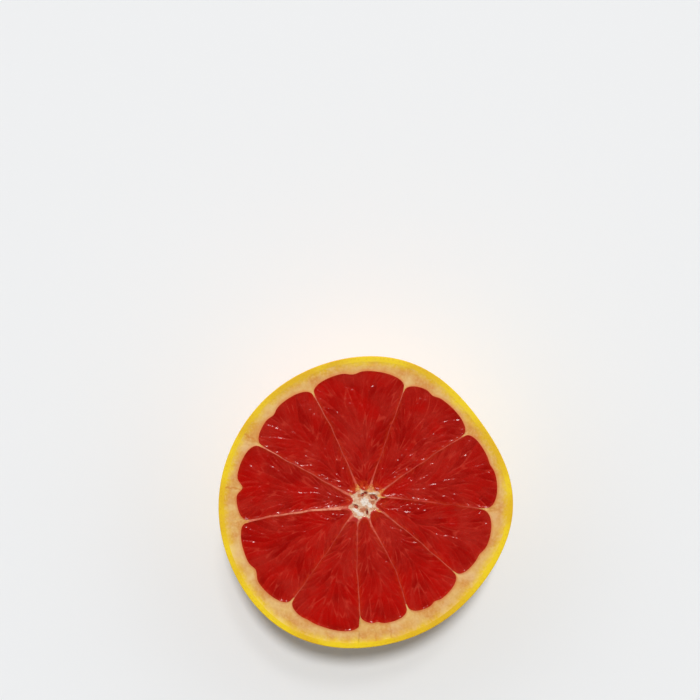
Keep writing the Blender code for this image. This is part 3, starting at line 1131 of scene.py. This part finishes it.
SAC_RELIEF = {"Crown": 0.04, "Wall_Depth": 0.03, "Sinking": 0.1, "Ripple": 0.25}
for segment_index in range(len(SEGMENTS)):
    piece, sacs_made = segment_mesh(segment_index)
    run_tree(piece, SACS, Finish=FLESH_FINISH, **SAC_RELIEF)
    print(sacs_made, "sacs;", end=" ")
    report(piece)
    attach(piece, "root")
    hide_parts(f"segment_{segment_index + 1:02d}")

# %% [markdown]
# ## The pith, its membranes and the core
# All of this is one body. Seen from above it is a net: a ring round the segments, a ribbon between
# each two of them, and the core where the ribbons meet. Each of these is a sheet that shares its
# edges with the next. The pockets and the dome close the body from below.

# %% Rows between two edges
PITH_COLUMNS = 56
PITH_ROWS = 64
RIBBON_STEPS = 4
RING_STEPS = 12
CORE_RINGS = 34
CORE_CENTRE = np.array([-0.4, -0.2]) * MM
CORE_HOLLOW_DEPTH = 1.1 * MM
BEHIND_PEEL = 7.0
POCKET_GAP = 0.1 * MM
PITH_LATITUDES = np.radians([0, 5, 11, 18, 26, 34, 42, 50, 58, 66, 74, 80, 84])
PITH_ATTRIBUTES = ("spongy", "from_flesh", "depth", "near_flesh", "membrane", "pale")
PITH_ATTRIBUTES += ("core", "white", "orange", "tan", "hollow")


def interpolated(first, last, steps):
    """Rows of points from the first row to the last."""
    share = np.linspace(0, 1, steps + 1)[:, None, None]
    return first[None] * (1 - share) + last[None] * share


def rim_circle(points):
    """Points at the same angles on the line where the pith meets the rind."""
    angle = np.arctan2(points[..., 1], points[..., 0])
    return polar(CUT_RADIUS + edge_wave(angle) - RIND_THICKNESS, angle)


# %% Pale membranes and spots in the core
# How pale each membrane is at the core, a quarter and two thirds of the way out, and at the pith.
PALENESS_AT = (0.0, 0.25, 0.7, 0.95)
PALENESS = (
    (0.2, 0.0, 0.0, 0.2),
    (0.2, 0.1, 0.08, 0.25),
    (0.12, 0.0, 0.0, 0.2),
    (0.2, 0.05, 0.15, 0.35),
    (0.25, 0.12, 0.2, 0.9),
    (0.85, 0.75, 0.4, 0.5),
    (0.2, 0.0, 0.0, 0.2),
    (0.12, 0.03, 0.12, 0.3),
    (0.2, 0.06, 0.03, 0.2),
    (0.25, 0.15, 0.15, 0.3),
)
# Each spot: its middle in millimetres, half its width and height, and its turn in degrees.
CORE_SPOTS = {
    "hollow": (
        (-1.3, 2.9, 0.55, 0.4, 20),
        (-0.3, 3.5, 0.6, 0.4, 10),
        (2.5, 2.1, 1.2, 0.75, -15),
        (3.6, 1.5, 0.4, 0.7, 0),
        (-3.9, -1.5, 1.0, 0.55, -30),
        (0.3, -3.5, 0.32, 0.9, 5),
    ),
    "white": (
        (-0.6, 0.4, 1.5, 1.4, 0),
        (1.2, -1.0, 1.2, 0.8, -45),
        (-4.0, -2.8, 1.2, 0.7, -30),
        (-2.2, -4.3, 1.2, 0.8, -20),
        (2.1, 3.5, 1.5, 0.3, 0),
        (-1.7, 3.5, 0.5, 0.35, 30),
    ),
    "tan": ((-1.3, -2.6, 1.3, 1.0, 0), (-2.3, 2.6, 1.2, 0.7, 0), (2.3, -0.1, 0.8, 0.8, 0)),
    "orange": (
        (1.6, 5.2, 2.3, 1.5, 0),
        (5.6, 4.4, 1.3, 1.5, 20),
        (6.2, 2.4, 2.4, 0.8, -8),
        (-3.5, 5.4, 1.3, 1.8, 25),
        (4.4, -2.9, 1.2, 0.4, -30),
        (-5.6, 3.2, 0.9, 0.4, -25),
    ),
}


def core_marks(points):
    """Masks for each kind of spot in the core."""
    x, y = (points / MM).T
    masks = {}
    for name, spots in CORE_SPOTS.items():
        mask = np.zeros(len(x))
        for spot_x, spot_y, wide, high, degrees in spots:
            cos, sin = math.cos(math.radians(degrees)), math.sin(math.radians(degrees))
            u = ((x - spot_x) * cos + (y - spot_y) * sin) / wide
            v = ((y - spot_y) * cos - (x - spot_x) * sin) / high
            mask = np.maximum(mask, np.clip(1.5 - np.hypot(u, v), 0, 1))
        masks[name] = mask
    return masks


# %% Marks of the ring and of the membranes


def ring_marks(points):
    """How far each point of a ring sheet is from the rind, and how close to the flesh."""
    from_rind = np.linalg.norm(points - points[-1:], axis=-1) / MM
    from_flesh = np.linalg.norm(points - points[:1], axis=-1) / MM
    near_flesh = np.clip(1 - from_flesh / 1.1, 0, 1)
    spongy = np.clip(np.minimum(from_rind, from_flesh) * 2, 0, 1)
    depth = from_rind + RIND_THICKNESS / MM
    return {"depth": depth, "near_flesh": near_flesh, "spongy": spongy}


def ribbon_marks(index, points):
    """A membrane's marks: how pale it is along its length, and how far from the flesh it is."""
    radius = np.linalg.norm(points, axis=-1)
    pale = np.interp(membrane_share(radius), PALENESS_AT, PALENESS[index % len(PALENESS)])
    membrane = np.clip((MEMBRANE_OUTER_RADIUS - radius) / (2 * MM), 0, 1)
    to_first = np.linalg.norm(points - points[:1], axis=-1)
    to_last = np.linalg.norm(points - points[-1:], axis=-1)
    from_flesh = np.minimum(to_first, to_last) / MM
    return {"pale": pale, "membrane": membrane, "near_flesh": 1 - membrane, "from_flesh": from_flesh}


# %% Net of sheets


def joint_of(plan, after):
    """The short row of points between two segments' outer corners."""
    return interpolated(plan.side(1, 1)[None], after.side(0, 1)[None], RIBBON_STEPS)[:, 0]


def pith_mesh():
    across = eased(PITH_COLUMNS)
    outwards = eased(PITH_ROWS, 0.5)
    inside = {"membrane": 1.0, "depth": BEHIND_PEEL}
    sheets = Sheets(*PITH_ATTRIBUTES)
    plans = [SegmentPlan(index) for index in range(len(SEGMENTS))]
    pairs = list(zip(plans, plans[1:] + plans[:1]))
    core_loop = []
    for index, (plan, after) in enumerate(pairs):
        for start in (plan.outer_edge(across), joint_of(plan, after)):
            ring = interpolated(start, rim_circle(start), RING_STEPS)
            sheets.add_grid(raised(ring, CUT_HEIGHT), **ring_marks(ring))
        ribbon = interpolated(plan.side(1, outwards), after.side(0, outwards), RIBBON_STEPS)
        marks = ribbon_marks(index + 1, ribbon)
        sheets.add_grid(raised(ribbon, CUT_HEIGHT), depth=BEHIND_PEEL, **marks)
        core_loop += [plan.inner_edge(across)[:-1], ribbon[:-1, 0]]
        walls = pocket_rings(index, CUT_HEIGHT, across, outwards, POCKET_GAP)
        sheets.add_grid(np.stack(walls), wrap=True, **inside)
        sheets.add_cap(walls[-1], **inside)
    tips = np.concatenate([plan.inner_edge(across) for plan in plans])
    add_core(sheets, np.concatenate(core_loop), tips)
    add_dome(sheets, pairs, across)
    return sheets.weld("pith_body", PITH_FINISH)


# %% The core and the dome


def rib_mask(points):
    """1 on the lines that carry the membranes on into the core, and 0 a millimetre off them."""
    mask = np.zeros(len(points))
    for index in range(len(MEMBRANES)):
        start = membrane_point(index, np.array([MEMBRANE_INNER_RADIUS]), 0.0)[0]
        along = (CORE_CENTRE - start) / np.linalg.norm(CORE_CENTRE - start)
        apart = points - start
        forward = apart @ along
        aside = np.abs(apart[:, 0] * along[1] - apart[:, 1] * along[0]) / MM
        near = np.exp(-((aside / 0.4) ** 2)) * (forward > -0.5 * MM) * (forward < 6 * MM)
        mask = np.maximum(mask, near)
    return mask


def add_core(sheets, loop, tips):
    """Rings from the segments' tips to the middle of the core, sunk at the hollows."""
    share = np.linspace(0, 1, CORE_RINGS + 1)[:-1]
    flat = loop[None] + (CORE_CENTRE - loop)[None] * share[:, None, None]
    places = flat.reshape(-1, 2)
    marks = core_marks(places)
    from_flesh = distance_to_rim(places, tips)
    radius = np.linalg.norm(places, axis=-1) / MM
    core = np.clip((from_flesh - 0.2) / 0.7, 0, 1) * np.clip((7.6 - radius) / 1.6, 0, 1)
    sunk = (marks["hollow"] * core * CORE_HOLLOW_DEPTH).reshape(flat.shape[:2])
    marks.update(core=core, spongy=core, membrane=1.0, pale=0.45 * rib_mask(places))
    marks.update(depth=BEHIND_PEEL, from_flesh=from_flesh)
    numbers = sheets.add_grid(raised(flat, CUT_HEIGHT - sunk), wrap=True, **marks)
    centre = np.array([*CORE_CENTRE, CUT_HEIGHT])
    middle = {"core": 1.0, "white": 1.0, "spongy": 1.0, "depth": BEHIND_PEEL, "from_flesh": 4.0}
    sheets.add_fan(numbers[-1], centre, **middle)


def add_dome(sheets, pairs, across):
    """The outside of the pith, from the cut down to its closed bottom."""
    angles = []
    for plan, after in pairs:
        for part in (plan.outer_edge(across)[:-1], joint_of(plan, after)[:-1]):
            angles.append(np.arctan2(part[:, 1], part[:, 0]))
    angle = np.concatenate(angles)
    rings = np.stack([dome(angle, latitude, RIND_THICKNESS) for latitude in PITH_LATITUDES])
    numbers = sheets.add_grid(rings, wrap=True)
    sheets.add_fan(numbers[-1], rings[-1].mean(axis=0))


# %% Make the pith
PIT_RELIEF = {"Pit_Depth": 0.1, "Swell": 0.12}
pith = pith_mesh()
run_tree(pith, PITS, Spacing=1.3, Pit_Radius=0.8, Mask="spongy", Finish=PITH_FINISH, **PIT_RELIEF)
# The pits' tree lifts a few points of the core over the cut, so the cut is made level again.
for corner in pith.data.vertices:
    corner.co.z = min(corner.co.z, CUT_HEIGHT)
report(pith)
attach(pith, "root")
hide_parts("pith")

# %% [markdown]
# ## The rind
# The rind is a bowl. Its outside has rings of points whose count falls with the ring's length, so
# that the points stay half a millimetre apart from the cut down to the rest spot and the pits come
# out alike everywhere. Rings with different counts are joined by a zip of triangles.

# %% Zips between rings
SKIN_STEP = 0.45 * MM
EDGE_ROUNDING = 0.25 * MM
EDGE_STEPS = 3
CUT_STEPS = 7
REST_LATITUDE = math.asin(CUT_HEIGHT / DOME_DEPTH)
LINING_SIDES = 160
LINING_LATITUDES = np.radians([4, 12, 22, 34, 46, 58, 70, 79, 84])
DIMPLE_DEPTH = 0.45 * MM
DIMPLE_RADIUS = 2.6 * MM
REST_SKIN = 0.35


def zip_rings(sheets, first, last):
    """Triangles between two rings of point numbers that both start at angle 0."""
    i, j = 0, 0
    while i < len(first) or j < len(last):
        first_is_behind = (i + 1) / len(first) <= (j + 1) / len(last)
        a, b = first[i % len(first)], last[j % len(last)]
        if j == len(last) or (i < len(first) and first_is_behind):
            i += 1
            sheets.faces.append([int(a), int(b), int(first[i % len(first)])])
        else:
            j += 1
            sheets.faces.append([int(a), int(b), int(last[j % len(last)])])


def add_ring(sheets, above, points, **values):
    """A new ring of points, joined to the ring above it by a zip."""
    numbers = sheets.add_points(points, **values) + np.arange(len(points))
    zip_rings(sheets, above, numbers)
    return numbers


# %% Rings of the skin


def ring_angles(count):
    return np.linspace(0, 2 * math.pi, count, endpoint=False)


def skin_rings():
    """Each ring of the skin as its latitude and its number of points."""
    fine = np.linspace(0, REST_LATITUDE, 2000)
    radius = CUT_RADIUS * np.cos(fine) ** SHOULDER_FULLNESS
    height = DOME_DEPTH * np.sin(fine)
    travelled = np.concatenate([[0], np.cumsum(np.hypot(np.diff(radius), np.diff(height)))])
    stops = np.linspace(EDGE_ROUNDING, travelled[-1], round(travelled[-1] / SKIN_STEP))
    latitudes = np.interp(stops, travelled, fine)
    counts = np.round(2 * math.pi * np.interp(stops, travelled, radius) / SKIN_STEP).astype(int)
    return list(zip(latitudes, counts))


# %% The bowl and its rest spot


def rind_mesh():
    sheets = Sheets("skin", "depth", "free")
    rings = skin_rings()
    first_latitude, around = rings[0]
    last_latitude, last_count = rings[-1]
    angle = ring_angles(around)
    rows, skin, depth = [], [], []
    for share in np.linspace(0, 1, EDGE_STEPS + 1):
        turn = share * math.pi / 2
        row = dome(angle, 0.0, EDGE_ROUNDING * (1 - math.cos(turn)))
        row[:, 2] = CUT_HEIGHT - EDGE_ROUNDING * (1 - math.sin(turn))
        rows.append(row)
        skin.append(1 - share)
        depth.append(0.0)
    for step in range(1, CUT_STEPS + 1):
        inset = between(EDGE_ROUNDING, RIND_THICKNESS, step / CUT_STEPS)
        rows.append(dome(angle, 0.0, inset))
        skin.append(0.0)
        depth.append(inset / MM)
    marks = {"skin": np.repeat(skin, around), "depth": np.repeat(depth, around)}
    cut = sheets.add_grid(np.stack(rows), wrap=True, **marks)

    above = cut[0]
    for latitude, count in rings[1:]:
        points = dome(ring_angles(count), latitude, 0.0)
        # The relief is let in gently below the cut edge and fades out above the rest spot.
        free = min(1.0, (latitude - first_latitude) * 30 + 0.2, (last_latitude - latitude) * 12)
        above = add_ring(sheets, above, points, skin=1.0, free=free)
    add_rest_spot(sheets, above, last_count)

    above = cut[-1]
    lining = {"depth": RIND_THICKNESS / MM}
    for latitude in LINING_LATITUDES:
        points = dome(ring_angles(LINING_SIDES), latitude, RIND_THICKNESS)
        above = add_ring(sheets, above, points, **lining)
    bottom = CUT_HEIGHT - (DOME_DEPTH - RIND_THICKNESS) * math.sin(LINING_LATITUDES[-1])
    sheets.add_fan(above, np.array([0.0, 0.0, bottom]), **lining)
    return sheets.weld("rind_skin", RIND_FINISH)


def add_rest_spot(sheets, above, count):
    """The flat spot, with the small dimpled scar that the flower left in its middle."""
    radius = CUT_RADIUS * math.cos(REST_LATITUDE) ** SHOULDER_FULLNESS
    steps = round(radius / SKIN_STEP)
    for step in range(1, steps):
        share = 1 - step / steps
        ring = dome(ring_angles(max(8, round(count * share))), REST_LATITUDE, 0.0)
        ring[:, :2] *= share
        ring[:, 2] = DIMPLE_DEPTH * math.exp(-((radius * share / DIMPLE_RADIUS) ** 2))
        above = add_ring(sheets, above, ring, skin=REST_SKIN)
    sheets.add_fan(above, np.array([0.0, 0.0, DIMPLE_DEPTH]), skin=REST_SKIN)


# %% Make the rind
rind = rind_mesh()
glands = {"Spacing": GLAND_SPACING, "Pit_Radius": 0.7}
run_tree(rind, PITS, Mask="free", Finish=RIND_FINISH, **glands, **PIT_RELIEF)
report(rind)
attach(rind, "root")
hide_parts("rind")

# %% [markdown]
# ## Floor, light and camera
# The photograph looks straight at the cut face, and the half lies with that face up, so the camera
# looks straight down on it. Two small lamps hang almost overhead, near the middle line and a little
# beyond the fruit's far side, and the room is brightest on that side too. Together they put a short,
# soft shadow below the fruit in the picture. Small lamps also give wet flesh its tiny glints. The
# room is dim overhead, because a ceiling as pale as the floor would lie over the deep red as a grey
# veil.

# %% Floor
FLOOR_HALF = 3.0
FLOOR_COLOUR = (0.82, 0.83, 0.84, 1.0)


def make_floor():
    corners = [(x * FLOOR_HALF, y * FLOOR_HALF, 0) for x, y in ((-1, -1), (1, -1), (1, 1), (-1, 1))]
    mesh = bpy.data.meshes.new("floor")
    mesh.from_pydata(corners, [], [(0, 1, 2, 3)])
    wire = Finish("pale floor")
    wire.set(Base_Color=FLOOR_COLOUR, Roughness=0.7, Specular_IOR_Level=0.2)
    mesh.materials.append(wire.material)
    floor = bpy.data.objects.new("floor", mesh)
    bpy.context.scene.collection.objects.link(floor)
    return floor


make_floor()

# %% Light
LAMP_ANGLE = math.radians(7)
NEAR_WALL = 0.15
FAR_WALL = 1.15
OVERHEAD_GREY = (0.07, 0.07, 0.07, 1.0)
BACKDROP_GREY = (0.86, 0.87, 0.87, 1.0)


def studio_lamp(name, towards, strength):
    """A lamp so far away that it lights the whole floor alike."""
    lamp = bpy.data.lights.new(name, "SUN")
    lamp.angle = LAMP_ANGLE
    lamp.energy = strength
    held = bpy.data.objects.new(name, lamp)
    held.rotation_euler = Vector(towards).to_track_quat("Z", "Y").to_euler()
    bpy.context.scene.collection.objects.link(held)


def room():
    """A room that is brightest on its far side, darker towards the floor and dark overhead."""
    world = bpy.data.worlds.new("room")
    world.use_nodes = True
    wire = Wiring(world.node_tree)
    direction = wire.node("ShaderNodeTexCoord").outputs["Generated"]
    _, far_side, height = wire.node("ShaderNodeSeparateXYZ", {0: direction}).outputs
    walls = wire.remap(far_side, -0.7, 0.7, NEAR_WALL, FAR_WALL)
    walls = wire.times(walls, wire.remap(height, 0.0, 0.5, 0.6, 1.0))
    colour = wire.blend(wire.remap(height, 0.88, 0.62), OVERHEAD_GREY, walls)
    seen = wire.node("ShaderNodeLightPath").outputs["Is Camera Ray"]
    colour = wire.blend(seen, colour, BACKDROP_GREY)
    wire.feed(world.node_tree.nodes["Background"].inputs["Color"], colour)
    bpy.context.scene.world = world


studio_lamp("main lamp", (0.02, 0.4, 1.2), 1.88)
studio_lamp("second lamp", (0.1, 0.6, 1.1), 0.35)
room()
bpy.context.scene.view_settings.view_transform = "Standard"

# %% Camera
PHOTO_SIDE_PX = 700
FRUIT_CENTRE_PX = (366.3, 502.7)
METRES_PER_PX = 0.3704 * MM
LENS_MM = 70.0
SENSOR_MM = 36.0


def make_camera():
    """Looks straight down, with the cut face at the size and place that the photograph has."""
    lens = bpy.data.cameras.new("camera")
    lens.lens = LENS_MM
    lens.sensor_width = SENSOR_MM
    distance = METRES_PER_PX * PHOTO_SIDE_PX * LENS_MM / SENSOR_MM
    x = (PHOTO_SIDE_PX / 2 - FRUIT_CENTRE_PX[0]) * METRES_PER_PX
    y = (FRUIT_CENTRE_PX[1] - PHOTO_SIDE_PX / 2) * METRES_PER_PX
    camera = bpy.data.objects.new("camera", lens)
    camera.location = (x, y, CUT_HEIGHT + distance)
    bpy.context.scene.collection.objects.link(camera)
    bpy.context.scene.camera = camera
    print("camera", round(distance, 3), "m from the cut face")


make_camera()
